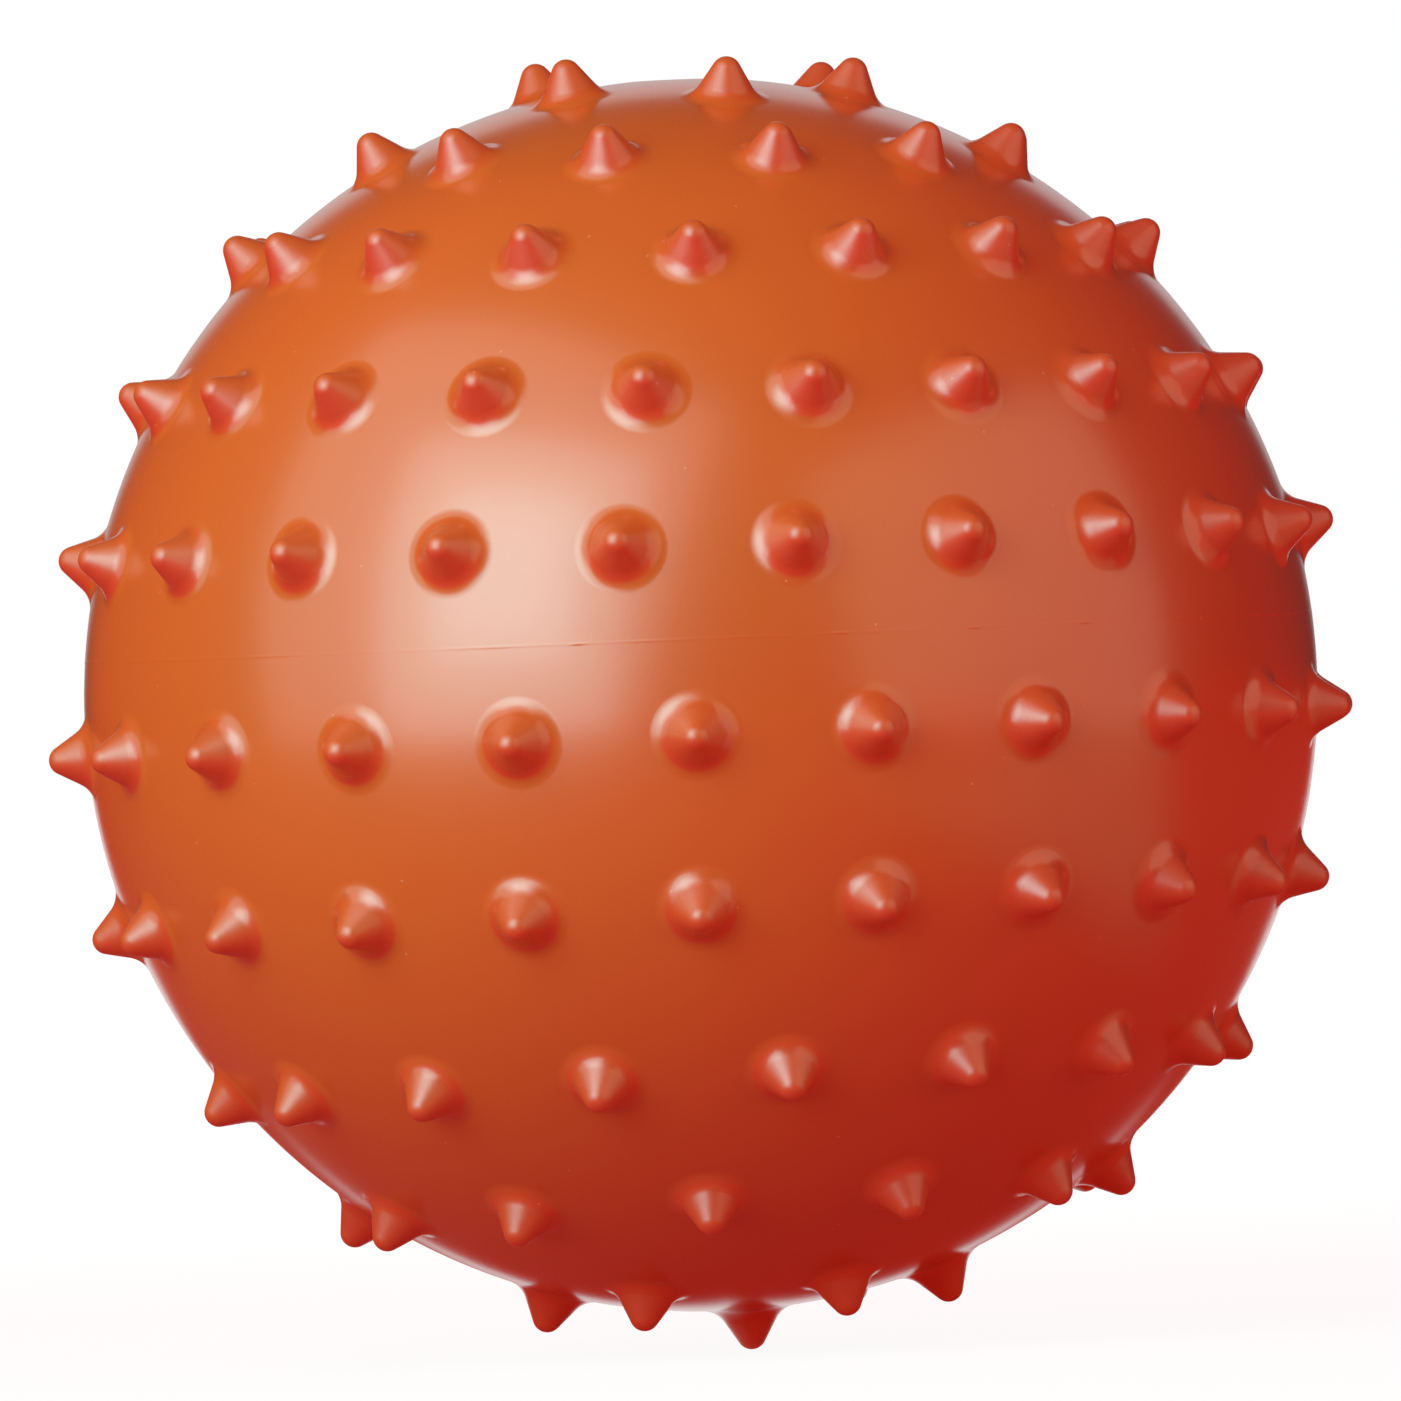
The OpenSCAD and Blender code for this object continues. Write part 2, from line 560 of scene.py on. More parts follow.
@dataclass
class SkinHalf:
    """One half of the skin, with its knobs, its share of the flash line and its inside."""

    SKIN_POINTS = 40000
    INSIDE_POINTS = 3000
    CLEAR = 1.0
    INSIDE_CLEAR = 2.5
    COLLAR_CLEAR = 3.0
    ON_SEAM = 0.01
    SLACK = 1e-6

    side: Side
    skin: SkinSizes
    knob: KnobSizes
    seam: SeamSizes
    valve: ValveSizes
    centre_z: float

    def __post_init__(self) -> None:
        """Finds the directions of the knobs and the steps of the seam, and starts the piece."""
        self.axes = self.skin.knob_axes(self.side)
        self.turn = full_turn(self.seam.segments)
        self.shell = Shell(f"{self.side.name.lower()}_skin", self.centre_z)

    def build(self) -> Piece:
        """Makes the half, hides the CAD half that it replaces, and puts it on the ball's body.

        Returns:
            The half.
        """
        shell, side = self.shell, self.side
        rims = [self.add_knob(axis) for axis in self.axes]
        heights = self.seam.heights()
        rows = [shell.add_points(self.row(away, heights * self.flash_share(away))) for away in self.seam.rows]
        mouth = shell.add_points(self.mouth()) if side is Side.UPPER else None
        self.add_outside(rims + rows + ([mouth] if mouth is not None else []), heights)
        self.add_inside(rows[0], mouth)
        made = shell.build()
        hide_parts(f"{side.name.lower()}_half")
        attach(made, "ball")
        return made

    def add_knob(self, axis: Rows) -> Rows:
        """Adds one knob.

        Args:
            axis: its direction.

        Returns:
            The numbers of the ring round its foot.
        """
        points, slopes = self.knob.profile(self.skin.ball_r)
        u, v = cross_axes(axis)
        turn = full_turn(self.knob.segments)
        out = np.cos(turn)[:, None] * u + np.sin(turn)[:, None] * v
        rings, normals = [], []
        for (r, z), slope in zip(points[:-1], slopes[:-1]):
            rings.append(self.shell.add_points(r * out + (self.skin.ball_r + z) * axis, max(0.0, float(z))))
            normals.append(math.sin(slope) * out + math.cos(slope) * axis)
        tip = self.shell.add_points(((self.skin.ball_r + self.knob.height) * axis)[None], self.knob.height)
        for k in range(len(rings) - 1):
            self.shell.add_strip(rings[k], rings[k + 1], normals[k], normals[k + 1])
        self.shell.add_fan(rings[-1], int(tip[0]), normals[-1], axis)
        return rings[0]

    def flash_share(self, away: float) -> float:
        """Share of the flash line's height that is left at a distance from the seam."""
        return 0.5 * (1.0 + math.cos(math.pi * min(1.0, away / self.seam.reach)))

    def row(self, away: float, lift: Rows) -> Rows:
        """Points of a row that runs along the seam.

        Args:
            away: distance from the seam along the skin.
            lift: height of each point above the skin.

        Returns:
            One point a row.
        """
        polar = self.skin.seam_polar - self.side.value * away / self.skin.ball_r
        r = self.skin.ball_r + lift
        z = np.full(len(lift), self.skin.seam_rise) if away == 0.0 else r * math.cos(polar)
        out = np.sqrt(r * r - z * z)
        return np.stack([out * np.cos(self.turn), out * np.sin(self.turn), z], 1)

    def mouth(self) -> Rows:
        """Points of the ring where the skin turns down into the valve's pocket."""
        r = self.valve.mouth_r
        return r * level_rows(full_turn(self.valve.segments)) + other_leg(self.skin.ball_r, r) * UP

    def opening(self, r: float, ball_r: float) -> float:
        """Cosine of the angle at which a round opening in the skin starts, with a little slack."""
        return math.cos(math.asin(r / ball_r)) + self.SLACK

    def free_directions(self, count: int, seam_clear: float, knob_clear: float) -> Rows:
        """Even directions over this half, clear of the seam, the knobs and the valve.

        Args:
            count: how many there would be all round the ball.
            seam_clear: distance to keep from the seam.
            knob_clear: distance to keep from a knob's axis.

        Returns:
            One unit vector a row.
        """
        free = fibonacci(count)
        polar = np.arccos(free[:, 2])
        away = (self.skin.seam_polar - polar) * self.side.value * self.skin.ball_r
        keep = away > seam_clear
        if knob_clear > 0.0:
            keep &= (free @ self.axes.T).max(axis=1) < math.cos(knob_clear / self.skin.ball_r)
        if self.side is Side.UPPER:
            rim = max(self.valve.mouth_r, self.valve.collar_r)
            keep &= polar > (rim + self.CLEAR) / self.skin.ball_r
        return free[keep]

    def fill(self, loops: list[Rows], free: Rows) -> tuple[Rows, Rows, Rows]:
        """Joins rings and the free points between them into triangles.

        Args:
            loops: point numbers of each ring.
            free: numbers of the free points.

        Returns:
            The numbers of all these points, their places, and the triangles as rows of them.
        """
        numbers = np.concatenate(loops + [free])
        place = np.concatenate(self.shell.points)[numbers]
        where = {int(n): k for k, n in enumerate(numbers)}
        local = [np.array([where[int(n)] for n in loop]) for loop in loops]
        return numbers, place, triangulate(unit_rows(place), local, float(self.side.value))

    def add_outside(self, loops: list[Rows], heights: Rows) -> None:
        """Adds the skin between the knobs, the seam and the valve's mouth.

        Args:
            loops: point numbers of the rings that bound it.
            heights: height of the flash round the seam.
        """
        ball_r = self.skin.ball_r
        seam_clear, knob_clear = self.seam.rows[-1] + self.CLEAR, self.knob.foot_r + self.CLEAR
        free = self.free_directions(self.SKIN_POINTS, seam_clear, knob_clear)
        numbers, place, triangles = self.fill(loops, self.shell.add_points(free * ball_r))
        directions = unit_rows(place)
        middles = unit_rows(directions[triangles].mean(axis=1))
        keep = (middles @ self.axes.T).max(axis=1) < self.opening(self.knob.foot_r, ball_r)
        if self.side is Side.UPPER:
            keep &= middles[:, 2] < self.opening(self.valve.mouth_r, ball_r)
        triangles = triangles[keep]
        normals = self.flash_normals(place, directions, heights)
        self.shell.add_triangles(numbers[triangles], normals[triangles])

    def flash_normals(self, place: Rows, directions: Rows, heights: Rows) -> Rows:
        """Normals of the skin, tipped where the flash line rises.

        Args:
            place: points of the skin.
            directions: their unit vectors.
            heights: height of the flash round the seam.

        Returns:
            One unit vector a row.
        """
        reach = self.seam.reach
        polar = np.arccos(np.clip(directions[:, 2], -1.0, 1.0))
        away = (self.skin.seam_polar - polar) * self.side.value * self.skin.ball_r
        turn = np.arctan2(place[:, 1], place[:, 0]) % (2.0 * math.pi)
        height = np.interp(turn, self.turn, heights, period=2.0 * math.pi)
        inside = (away > self.ON_SEAM) & (away < reach)
        fall = np.where(inside, height * 0.5 * math.pi / reach * np.sin(math.pi * away / reach), 0.0)
        out = level_rows(turn)
        along = self.side.value * (-np.cos(polar)[:, None] * out + np.sin(polar)[:, None] * UP)
        return unit_rows(directions + fall[:, None] * along)

    def add_inside(self, seam_ring: Rows, mouth: Rows | None) -> None:
        """Adds the inner surface, the face at the seam and the seat of the valve.

        Args:
            seam_ring: numbers of the outer ring at the seam.
            mouth: numbers of the ring round the valve's pocket, or None.
        """
        shell, skin = self.shell, self.skin
        collar_r = self.valve.collar_r
        out = level_rows(self.turn)
        inner_ring = shell.add_points(other_leg(skin.inner_r, skin.seam_rise) * out + skin.seam_rise * UP)
        face_n = np.tile(-self.side.value * UP, (len(out), 1))
        shell.add_strip(seam_ring, inner_ring, face_n, face_n)
        loops = [inner_ring]
        free = self.free_directions(self.INSIDE_POINTS, self.INSIDE_CLEAR, 0.0)
        if mouth is not None:
            loops.append(self.add_seat(mouth))
            free = free[np.arccos(free[:, 2]) > (collar_r + self.COLLAR_CLEAR) / skin.inner_r]
        numbers, place, triangles = self.fill(loops, shell.add_points(free * skin.inner_r))
        directions = unit_rows(place)
        if mouth is not None:
            middles = unit_rows(directions[triangles].mean(axis=1))
            triangles = triangles[middles[:, 2] < self.opening(collar_r, skin.inner_r)]
        shell.add_triangles(numbers[triangles], -directions[triangles])

    def add_seat(self, mouth: Rows) -> Rows:
        """Adds the pocket, the hole for the bush and the collar round them.

        Args:
            mouth: numbers of the ring round the pocket.

        Returns:
            The numbers of the ring where the collar meets the skin's inside.
        """
        v = self.valve
        mouth_z = other_leg(self.skin.ball_r, v.mouth_r)
        seat = rounded([
            (v.mouth_r, mouth_z, 0.0),
            (v.pocket_r, mouth_z - v.lip_drop, v.lip_round),
            (v.pocket_r, v.pocket_floor, v.floor_round),
            (v.hole_r, v.pocket_floor, 0.0),
            (v.hole_r, v.collar_foot, 0.0),
            (v.collar_r, v.collar_foot, v.collar_round),
            (v.collar_r, other_leg(self.skin.inner_r, v.collar_r), 0.0)])
        return self.shell.add_lathe(seat, v.segments, first=mouth, flip=True)[1]


@dataclass(frozen=True)
class Valve:
    """The bush that is bonded into the crown, and the stopper that pulls out of it."""

    sizes: ValveSizes
    centre_z: float

    def build_bush(self) -> Piece:
        """Makes the bush, with its mouth and its flange's edge rounded.

        Returns:
            The bush.
        """
        v = self.sizes
        halfway = (v.flange_top + v.bush_foot) / 2.0
        corners = [
            (v.bore_r, halfway, 0.0),
            (v.bore_r, v.flange_top, v.bore_round),
            (v.flange_r, v.flange_top, v.flange_round),
            (v.flange_r, v.pocket_floor, v.flange_foot_round),
            (v.bush_r, v.pocket_floor, 0.0),
            (v.bush_r, v.bush_foot, v.bush_foot_round),
            (v.bore_r, v.bush_foot, v.bore_round),
            (v.bore_r, halfway, 0.0)]
        shell = Shell("bush", self.centre_z)
        shell.add_lathe(rounded(corners)[:-1], v.segments, closed=True)
        return self.dress(shell.build(), "valve_bush", "ball")

    def build_stopper(self) -> Piece:
        """Makes the stopper: a dished head with a rolled rim on a bevelled stem.

        Returns:
            The stopper.
        """
        v = self.sizes
        dish = v.head_top - v.dish_depth
        tip = v.flange_top - v.stem_l
        corners = [
            (0.0, dish, 0.0),
            (v.head_r - v.dish_inset, dish, v.dish_round),
            (v.head_r - v.rim_inset, v.head_top, v.rim_round),
            (v.head_r, v.head_top, v.head_round),
            (v.head_r, v.flange_top, v.head_foot_round),
            (v.stem_r, v.flange_top, 0.0),
            (v.stem_r, tip + v.stem_bevel, v.stem_round),
            (v.stem_r - v.stem_bevel, tip, v.tip_round),
            (0.0, tip, 0.0)]
        shell = Shell("stopper", self.centre_z)
        shell.add_lathe(rounded(corners), v.segments)
        return self.dress(shell.build(), "valve_stopper", "stopper")

    def dress(self, made: Piece, node: str, body: str) -> Piece:
        """Hides the CAD node that a piece of the valve replaces, and puts the piece on the body it moves
        with.

        Args:
            made: the piece.
            node: the CAD node it replaces.
            body: the body it moves with.

        Returns:
            The piece.
        """
        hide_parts(node)
        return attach(made, body)


# Finishes


class NodeSheet:
    """The node tree of a material or of the world, with short calls to fill it."""

    def __init__(self, owner: bpy.types.ID) -> None:
        """Empties the tree.

        Args:
            owner: the material or world that the tree belongs to.
        """
        self.owner = owner
        owner.use_nodes = True
        self.tree = owner.node_tree
        self.tree.nodes.clear()

    def node(self, kind: str, inputs: dict | None = None, **settings: object) -> bpy.types.Node:
        """Adds a node.

        Args:
            kind: Blender's name for it.
            inputs: names or numbers of sockets, each with a value or with the socket to link from.
            settings: attributes of the node.

        Returns:
            The node.
        """
        made = self.tree.nodes.new(kind)
        for key, value in settings.items():
            setattr(made, key, value)
        for key, value in (inputs or {}).items():
            if isinstance(value, Socket):
                self.tree.links.new(value, made.inputs[key])
            else:
                made.inputs[key].default_value = value
        return made

    def math(self, operation: str, *values: object) -> Socket:
        """Adds a sum of numbers or sockets, under Blender's name for it."""
        return self.node("ShaderNodeMath", dict(enumerate(values)), operation=operation).outputs[0]

    def times(self, first: object, second: object) -> Socket:
        """Multiplies two numbers or sockets."""
        return self.math("MULTIPLY", first, second)

    def split(self, vector: Socket) -> bpy.types.bpy_prop_collection:
        """Splits a vector, and gives the sockets X, Y and Z."""
        return self.node("ShaderNodeSeparateXYZ", {0: vector}).outputs

    def noise(self, place: Socket, scale: float, detail: float) -> Socket:
        """Adds a soft noise from 0 to 1, read at a place."""
        inputs = {"Vector": place, "Scale": scale, "Detail": detail}
        return self.node("ShaderNodeTexNoise", inputs).outputs["Fac"]

    def blend(self, share: object, first: object, second: object) -> Socket:
        """Mixes two colours, with a share of the second."""
        made = self.node("ShaderNodeMix", {0: share, 6: first, 7: second}, data_type="RGBA")
        return made.outputs[2]

    def remap(self, value: object, low: float, high: float, out_low: float = 0.0,
              out_high: float = 1.0) -> Socket:
        """Maps the range from low to high smoothly onto the one from out_low to out_high."""
        inputs = {0: value, 1: low, 2: high, 3: out_low, 4: out_high}
        return self.node("ShaderNodeMapRange", inputs, interpolation_type="SMOOTHSTEP").outputs[0]


@dataclass(frozen=True)
class SkinFinish:
    """Satin orange-red vinyl, with painted shade away from the key lamps and under the knobs, and a painted
    red glow on them.

    A noise is its scale and detail, rises are heights up a knob in millimetres, and the relief's height is in
    metres.
    """

    # painted light and shade: orange on the side toward the key lamps, deep red on the side away from them
    orange: Colour = (0.63, 0.150, 0.020, 1.0)
    painted_shade_red: Colour = (0.60, 0.064, 0.019, 1.0)
    # painted red: a glow of light passing through the knobs, and shade on their lower flanks
    knob: Colour = (0.68, 0.060, 0.018, 1.0)
    speck: Colour = (0.80, 0.36, 0.20, 1.0)
    # the direction toward the key lamps, and the span over which the painted shade turns to orange
    lit_side: tuple[float, float, float] = (-0.66, -0.60, 0.50)
    lit_span: Span = (-0.3, 1.05)
    cloud: Noise = (22.0, 3.0)
    cloud_share: float = 0.3
    # shares of the painted glow on every knob and of the painted shade on the knobs' lower flanks, less on
    # upper knobs
    knob_glow_share: float = 0.22
    under_shade_share: float = 0.75
    under_shade_span: Span = (-0.45, 0.65)
    level_share: float = 0.35
    foot_rises: Span = (0.0, 0.5)
    nose_rises: Span = (0.5, 2.5)
    speck_scale: float = 210.0
    speck_choice: float = 0.72
    speck_edge: Span = (0.035, 0.055)
    speck_share: float = 0.55
    grain: Noise = (1500.0, 2.0)
    coarse_grain: Noise = (330.0, 2.0)
    grain_relief: float = 0.5
    line_pitch: float = 0.26
    line_rises: Span = (2.0, 3.5)
    line_relief: float = 0.22
    speck_relief: float = 0.8
    relief_strength: float = 0.5
    relief_height: float = 0.000012
    roughness: float = 0.28
    knob_matt: float = 0.12
    specular: float = 1.0
    coat: float = 0.8
    coat_uneven: float = 0.2
    glint: Noise = (2800.0, 1.0)
    glint_span: Span = (0.3, 0.7)
    coat_roughness: float = 0.18
    knob_roughness: float = 0.36

    def material(self, ball_r: float, centre_z: float) -> bpy.types.Material:
        """Makes the material.

        Args:
            ball_r: radius of the ball, in metres.
            centre_z: height of its centre, in metres.

        Returns:
            The material.
        """
        s = NodeSheet(bpy.data.materials.new("orange_vinyl"))
        place = s.node("ShaderNodeTexCoord").outputs["Object"]
        rise = s.node("ShaderNodeAttribute", attribute_name="knob_rise").outputs["Fac"]
        specks = self.specks(s, place)
        colour = self.tint(s, place, rise, ball_r, centre_z)
        colour = s.blend(s.times(specks, self.speck_share), colour, self.speck)
        rough = s.remap(rise, *self.nose_rises, self.roughness, self.roughness + self.knob_matt)
        coat_least, coat_most = (1.0 - self.coat_uneven) * self.coat, (1.0 + self.coat_uneven) * self.coat
        glint = s.remap(s.noise(place, *self.glint), *self.glint_span, coat_least, coat_most)
        soft = s.remap(rise, *self.nose_rises, self.coat_roughness, self.knob_roughness)
        shader = s.node("ShaderNodeBsdfPrincipled", {
            "Base Color": colour, "Roughness": rough, "Normal": self.relief(s, place, rise, specks),
            "Specular IOR Level": self.specular, "Coat Weight": glint, "Coat Roughness": soft})
        s.node("ShaderNodeOutputMaterial", {"Surface": shader.outputs[0]})
        return s.owner

    def tint(self, s: NodeSheet, place: Socket, rise: Socket, ball_r: float, centre_z: float) -> Socket:
        """Colours the vinyl with its painted light, shade and glow, without its specks.

        Args:
            s: the sheet to fill.
            place: the point on the object.
            rise: height up a knob.
            ball_r: radius of the ball, in metres.
            centre_z: height of its centre, in metres.

        Returns:
            The colour.
        """
        outward = s.node("ShaderNodeVectorMath", {0: place, 1: (0.0, 0.0, centre_z)}, operation="SUBTRACT")
        # painted light and shade: how far a point lies toward the key lamps, painted orange that way and deep
        # red away
        toward_light = s.node("ShaderNodeVectorMath", {0: outward.outputs[0], 1: Vector(self.lit_side) / ball_r},
                      operation="DOT_PRODUCT").outputs["Value"]
        cloud = s.times(s.noise(place, *self.cloud), self.cloud_share)
        colour = s.blend(s.remap(s.math("ADD", toward_light, cloud), *self.lit_span), self.painted_shade_red, self.orange)
        # painted shade on the flanks of the knobs that face down, and a painted red glow on every knob
        lean = s.split(s.node("ShaderNodeNewGeometry").outputs["Normal"])["Z"]
        level = s.times(s.split(outward.outputs[0])["Z"], self.level_share / ball_r)
        painted_under_shade = s.remap(s.math("SUBTRACT", level, lean), *self.under_shade_span, 0.0, self.under_shade_share)
        painted_knob_red = s.times(s.math("ADD", painted_under_shade, self.knob_glow_share), s.remap(rise, *self.foot_rises))
        return s.blend(painted_knob_red, colour, self.knob)

    def specks(self, s: NodeSheet, place: Socket) -> Socket:
        """Scatters fine pale specks.

        Args:
            s: the sheet to fill.
            place: the point on the object.

        Returns:
            1 on a speck and 0 beside it.
        """
        cells = s.node("ShaderNodeTexVoronoi", {"Vector": place, "Scale": self.speck_scale}).outputs
        draw = s.node("ShaderNodeSeparateColor", {0: cells["Color"]}).outputs[0]
        spot = s.remap(cells["Distance"], *self.speck_edge, 1.0, 0.0)
        return s.times(spot, s.math("GREATER_THAN", draw, self.speck_choice))

    def relief(self, s: NodeSheet, place: Socket, rise: Socket, specks: Socket) -> Socket:
        """Raises a fine grain, the lines round the noses of the knobs and the specks.

        Args:
            s: the sheet to fill.
            place: the point on the object.
            rise: height up a knob.
            specks: 1 on a speck.

        Returns:
            The normal.
        """
        lines = s.math("SINE", s.times(rise, 2.0 * math.pi / self.line_pitch))
        lines = s.times(lines, s.remap(rise, *self.line_rises))
        height = s.times(s.noise(place, *self.grain), self.grain_relief)
        shares = (self.grain_relief, self.line_relief, self.speck_relief)
        for part, share in zip((s.noise(place, *self.coarse_grain), lines, specks), shares):
            height = s.math("ADD", height, s.times(part, share))
        return s.node("ShaderNodeBump", {
            "Height": height, "Strength": self.relief_strength, "Distance": self.relief_height}).outputs[0]


@dataclass(frozen=True)
class ValveFinish:
    """Off-white soft vinyl, a little dusty, with noises and relief given as in the skin's finish."""

    pale: Colour = (0.78, 0.71, 0.57, 1.0)
    dusty: Colour = (0.68, 0.60, 0.46, 1.0)
    dust: Noise = (260.0, 4.0)
    dust_span: Span = (0.35, 0.7)
    grain: Noise = (2600.0, 2.0)
    relief_strength: float = 0.4
    relief_height: float = 0.00002
    roughness: float = 0.42
    rough_uneven: float = 0.06
    depth_weight: float = 0.25
    depth_colours: tuple[float, float, float] = (1.0, 0.7, 0.45)
    depth: float = 0.0015

    def material(self) -> bpy.types.Material:
        """Makes the material.

        Returns:
            The material.
        """
        s = NodeSheet(bpy.data.materials.new("valve_vinyl"))
        place = s.node("ShaderNodeTexCoord").outputs["Object"]
        dust = s.remap(s.noise(place, *self.dust), *self.dust_span)
        grain = s.noise(place, *self.grain)
        bump = s.node("ShaderNodeBump", {
            "Height": grain, "Strength": self.relief_strength, "Distance": self.relief_height})
        rough = s.times(grain, 2.0 * self.rough_uneven)
        shader = s.node("ShaderNodeBsdfPrincipled", {
            "Base Color": s.blend(dust, self.pale, self.dusty),
            "Roughness": s.math("ADD", rough, self.roughness - self.rough_uneven), "Normal": bump.outputs[0],
            "Subsurface Weight": self.depth_weight, "Subsurface Radius": self.depth_colours,
            "Subsurface Scale": self.depth})
        s.node("ShaderNodeOutputMaterial", {"Surface": shader.outputs[0]})
        return s.owner


# Studio


@dataclass(frozen=True)
class SoftPanel:
    """A lit panel that faces the ball: where it is seen from the ball's centre, and how bright it is."""

    name: str
    left_deg: float
    up_deg: float
    width_deg: float
    height_deg: float
    distance: float
    radiance: float
    colour: tuple[float, float, float]

    def across(self, spread_deg: float) -> float:
        """Width in metres of a panel that spreads over an angle."""
        return 2.0 * self.distance * math.tan(math.radians(spread_deg) / 2.0)

    def build(self, centre: Vector) -> Piece:
        """Makes the lamp.

        Args:
            centre: the ball's centre.

        Returns:
            The lamp.
        """
        a, e = math.radians(self.left_deg), math.radians(self.up_deg)
        toward = Vector((-math.sin(a) * math.cos(e), -math.cos(a) * math.cos(e), math.sin(e)))
        lamp = bpy.data.lights.new(self.name, "AREA")
        lamp.shape = "RECTANGLE"
        lamp.size = self.across(self.width_deg)
        lamp.size_y = self.across(self.height_deg)
        lamp.energy = self.radiance * math.pi * lamp.size * lamp.size_y
        lamp.color = self.colour
        made = bpy.data.objects.new(self.name, lamp)
        made.location = centre + toward * self.distance
        made.rotation_mode = "QUATERNION"
        made.rotation_quaternion = toward.to_track_quat("Z", "Y")
        made.visible_camera = False
        bpy.context.scene.collection.objects.link(made)
        return made


@dataclass(frozen=True)
class Studio:
    """Floor, soft panels, white surroundings and camera round the ball's centre, with lengths in metres."""

    centre: Vector

    PANELS = (
        SoftPanel("key_core", 36.0, 22.0, 26.0, 28.0, 0.9, 1.8, (0.46, 1.03, 1.03)),
        SoftPanel("key_middle", 37.0, 19.0, 46.0, 54.0, 1.0, 1.65, (0.51, 1.03, 1.03)),
        SoftPanel("key_wide", 48.0, 24.0, 80.0, 84.0, 1.1, 0.85, (0.92, 1.0, 0.94)),
        SoftPanel("right_panel", -60.0, 11.0, 66.0, 66.0, 0.9, 0.64, (0.93, 0.88, 0.60)),
    )
    FILL = (0.645, 0.118, 0.086, 1.0)
    WHITE = (1.0, 1.0, 1.0, 1.0)
    PAPER = (0.09, 0.09, 0.09, 1.0)
    BOUNCE = (0.40, 0.018, 0.009, 1.0)
    WARM = (0.46, 0.06, 0.03, 1.0)
    BESIDE = (0.30, 0.28, 0.14, 1.0)
    DIM = 0.03
    SKY = 0.6

    FLOOR_HALF = 6.0
    NEAR_WHITE = 0.93
    NEAR_AWAY = (0.25, 0.9)
    WEDGE_SLANT = 0.8
    WEDGE_START = (-0.008, 0.012)
    WEDGE_END = (0.05, 0.12)
    STRIP_SLANT = 0.2
    STRIP_SIDE = (0.1, 0.16)
    STRIP_START = (0.35, 0.55)
    BESIDE_START = (-0.45, -0.25)
    BESIDE_END = (-0.05, 0.03)
    BESIDE_SIDE = (0.13, 0.24)

    SKY_SLANT = 0.235
    SKY_EDGE = (0.975, 1.0)
    WARM_SIDE = (-0.12, -0.5)
    WARM_BACK = (0.0, 0.4)

    DISTANCE = 3.4
    TILT_DEG = 0.34
    ROLL_DEG = -2.39
    FOCAL_PX = 20962.0
    FRAME_PX = 1401.0
    SENSOR_MM = 36.0
    OFFSET = (-0.00005, -0.00092)

    def build(self) -> None:
        """Makes everything round the ball."""
        for panel in self.PANELS:
            panel.build(self.centre)
        self.build_floor()
        self.build_world()
        self.build_camera()
        bpy.context.scene.view_settings.view_transform = "Standard"

    def build_floor(self) -> None:
        """Makes the floor, which looks white and keeps the ball's shadow."""
        half = self.FLOOR_HALF
        corners = [(-half, -half, 0.0), (half, -half, 0.0), (half, half, 0.0), (-half, half, 0.0)]
        mesh = bpy.data.meshes.new("floor")
        mesh.from_pydata(corners, [], [(0, 1, 2, 3)])
        floor = bpy.data.objects.new("floor", mesh)
        bpy.context.scene.collection.objects.link(floor)
        mesh.materials.append(self.floor_paper())

    def floor_paper(self) -> bpy.types.Material:
        """Makes the floor's material: white to the eye, dark paper for the shadow, and a red bounce.

        Returns:
            The material.
        """
        s = NodeSheet(bpy.data.materials.new("floor_paper"))
        path = s.node("ShaderNodeLightPath").outputs
        place = s.node("ShaderNodeNewGeometry").outputs["Position"]
        away = s.node("ShaderNodeVectorMath", {0: place}, operation="LENGTH").outputs["Value"]
        mirrored = s.math("MAXIMUM", path["Is Glossy Ray"], path["Is Transmission Ray"])
        behind = s.times(mirrored, self.white_behind(s, place))
        seen = s.math("MAXIMUM", path["Is Camera Ray"], behind)
        table = s.blend(s.times(self.table_beside(s, place), mirrored), self.BOUNCE, self.BESIDE)
        white = s.remap(away, *self.NEAR_AWAY, self.NEAR_WHITE, 1.0)
        paper = s.node("ShaderNodeBsdfDiffuse", {"Color": self.PAPER})
        glow = s.node("ShaderNodeEmission", {"Color": s.blend(seen, table, white)})
        both = s.node("ShaderNodeAddShader", {0: paper.outputs[0], 1: glow.outputs[0]})
        s.node("ShaderNodeOutputMaterial", {"Surface": both.outputs[0]})
        s.owner.cycles.emission_sampling = "NONE"
        return s.owner

    def white_behind(self, s: NodeSheet, place: Socket) -> Socket:
        """Marks the floor that the ball mirrors white: a near wedge and a distant strip behind it.

        Args:
            s: the sheet to fill.
            place: the point on the floor.

        Returns:
            1 on that floor and 0 beyond it.
        """
        spot = s.split(place)
        aside = s.math("ABSOLUTE", spot["X"])
        start = s.math("SUBTRACT", spot["Y"], s.times(aside, self.WEDGE_SLANT))
        wedge = s.remap(start, *self.WEDGE_START)
        wedge = s.times(wedge, s.remap(spot["Y"], *self.WEDGE_END, 1.0, 0.0))
        edge = s.math("SUBTRACT", aside, s.times(spot["Y"], self.STRIP_SLANT))
        strip = s.remap(spot["Y"], *self.STRIP_START)
        strip = s.times(strip, s.remap(edge, *self.STRIP_SIDE, 1.0, 0.0))
        return s.math("ADD", wedge, strip)

    def table_beside(self, s: NodeSheet, place: Socket) -> Socket:
        """Marks the floor at the right of the ball, which it mirrors as a pale table.

        Args:
            s: the sheet to fill.
            place: the point on the floor.

        Returns:
            1 on that floor and 0 beyond it.
        """
        spot = s.split(place)
        beside = s.remap(spot["Y"], *self.BESIDE_START)
        beside = s.times(beside, s.remap(spot["Y"], *self.BESIDE_END, 1.0, 0.0))
        return s.times(beside, s.remap(spot["X"], *self.BESIDE_SIDE))

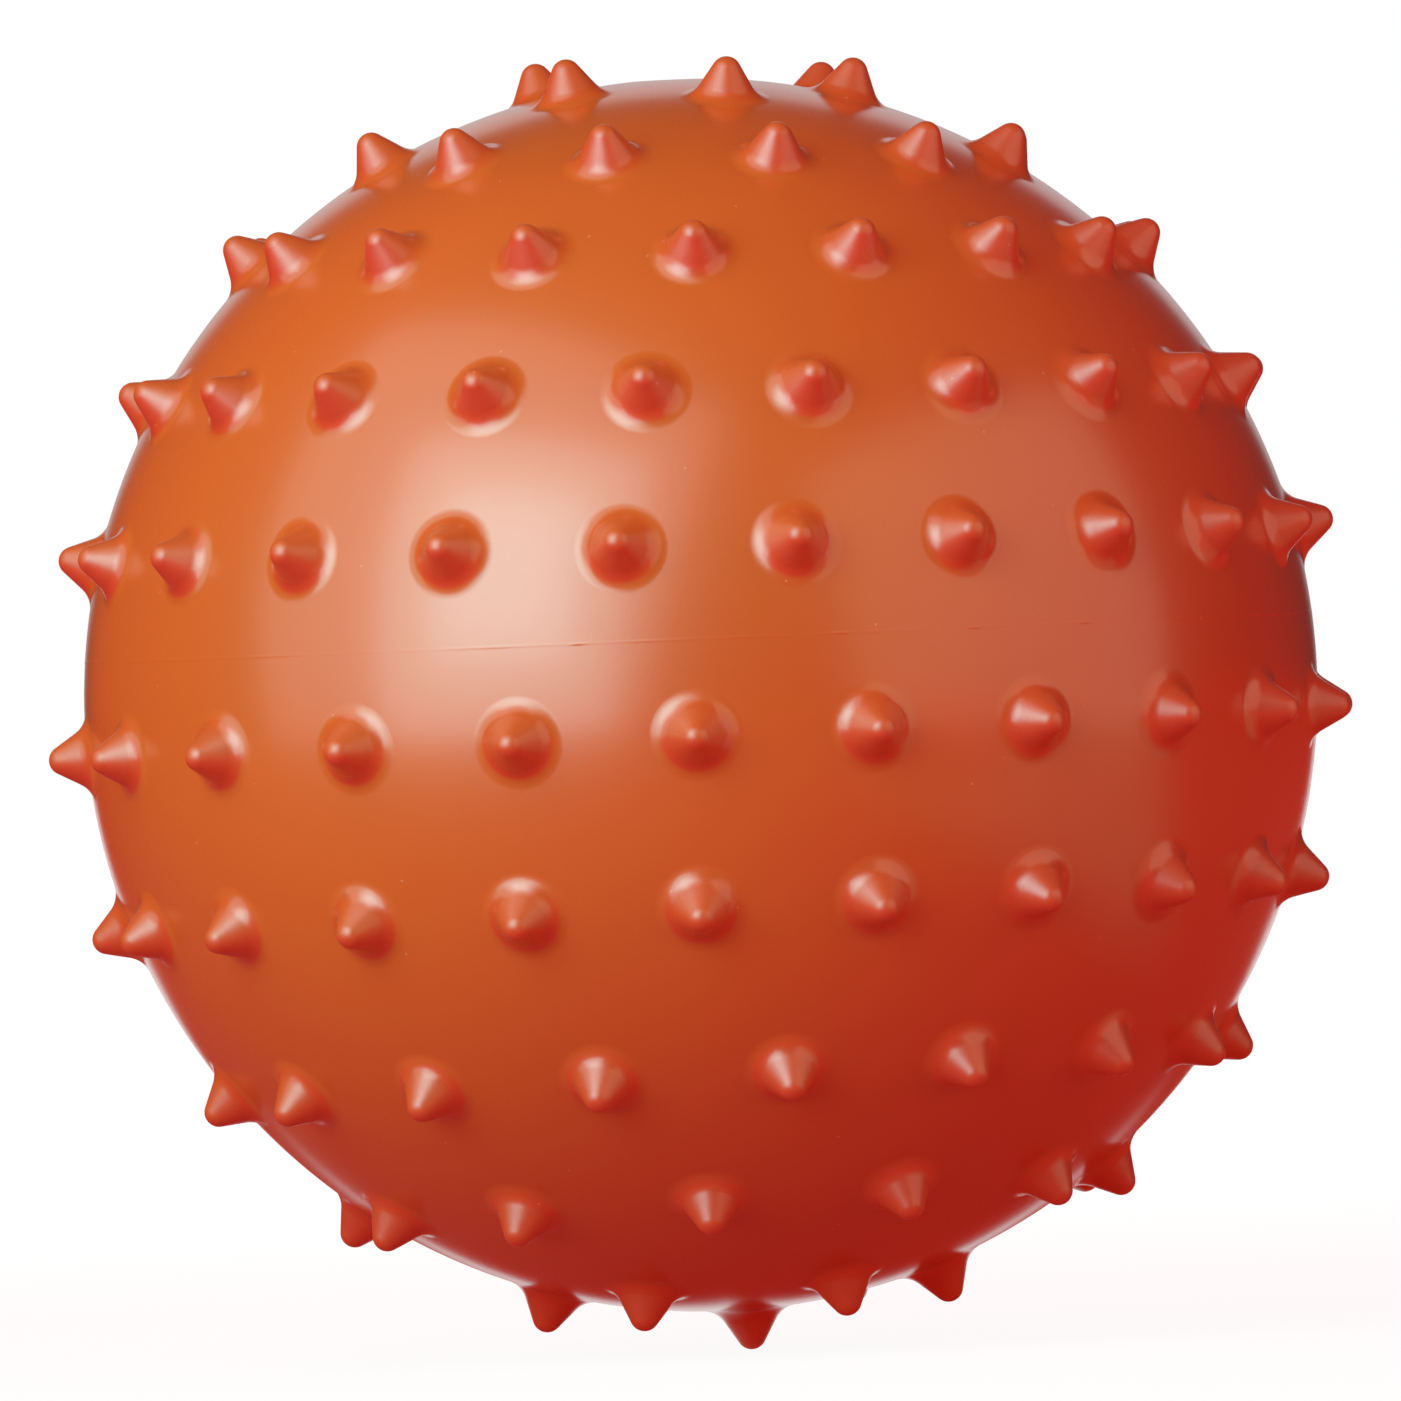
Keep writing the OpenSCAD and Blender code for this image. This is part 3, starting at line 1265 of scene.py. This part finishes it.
    def build_world(self) -> None:
        """Makes the surroundings: white to the eye, pale behind the ball in reflections, and a plain fill."""
        world = bpy.data.worlds.new("studio")
        bpy.context.scene.world = world
        world.cycles.sampling_method = "NONE"
        s = NodeSheet(world)
        path = s.node("ShaderNodeLightPath").outputs
        toward = s.split(s.node("ShaderNodeTexCoord").outputs["Generated"])
        raised = s.math("ADD", toward["Y"], s.times(toward["Z"], self.SKY_SLANT))
        behind = s.remap(raised, *self.SKY_EDGE, self.DIM, self.SKY)
        left = s.remap(toward["X"], *self.WARM_SIDE)
        left = s.times(left, s.remap(toward["Y"], *self.WARM_BACK))
        mirrored = s.math("MAXIMUM", path["Is Glossy Ray"], path["Is Transmission Ray"])
        colour = s.blend(mirrored, self.FILL, s.blend(left, behind, self.WARM))
        colour = s.blend(path["Is Camera Ray"], colour, self.WHITE)
        light = s.node("ShaderNodeBackground", {"Color": colour})
        s.node("ShaderNodeOutputWorld", {"Surface": light.outputs[0]})

    def build_camera(self) -> None:
        """Makes the camera at the photographed angle."""
        tilt, roll = math.radians(self.TILT_DEG), math.radians(self.ROLL_DEG)
        back = Vector((0.0, -math.cos(tilt), math.sin(tilt)))
        right = Vector((math.cos(roll), math.sin(roll) * math.sin(tilt), math.sin(roll) * math.cos(tilt)))
        up = Vector((-math.sin(roll), math.cos(roll) * math.sin(tilt), math.cos(roll) * math.cos(tilt)))
        lens = bpy.data.cameras.new("camera")
        lens.sensor_width = self.SENSOR_MM
        lens.lens = self.SENSOR_MM * self.FOCAL_PX / self.FRAME_PX
        camera = bpy.data.objects.new("camera", lens)
        spot = self.centre + back * self.DISTANCE + right * self.OFFSET[0] + up * self.OFFSET[1]
        turn = Matrix((right, up, back)).transposed()
        camera.matrix_world = Matrix.Translation(spot) @ turn.to_4x4()
        bpy.context.scene.collection.objects.link(camera)
        bpy.context.scene.camera = camera


def main() -> None:
    """Builds the ball piece by piece and the studio round it."""
    logging.basicConfig(level=logging.INFO, format="%(name)s: %(message)s")
    skin, knob, seam, valve = SkinSizes(), KnobSizes(), SeamSizes(), ValveSizes()
    centre_z = (knob.nose_r - skin.pole()[2] * (skin.ball_r + knob.height - knob.nose_r)) * MM
    orange, pale = SkinFinish().material(skin.ball_r * MM, centre_z), ValveFinish().material()
    made = [SkinHalf(side, skin, knob, seam, valve, centre_z).build() for side in Side]
    for piece in made:
        piece.data.materials.append(orange)
    maker = Valve(valve, centre_z)
    for piece in (maker.build_bush(), maker.build_stopper()):
        piece.data.materials.append(pale)
        made.append(piece)
    for piece in made:
        LOG.info("%s: %d points, %d faces", piece.name, len(piece.data.vertices), len(piece.data.polygons))
    Studio(Vector((0.0, 0.0, centre_z))).build()


if __name__ == "__main__":
    main()
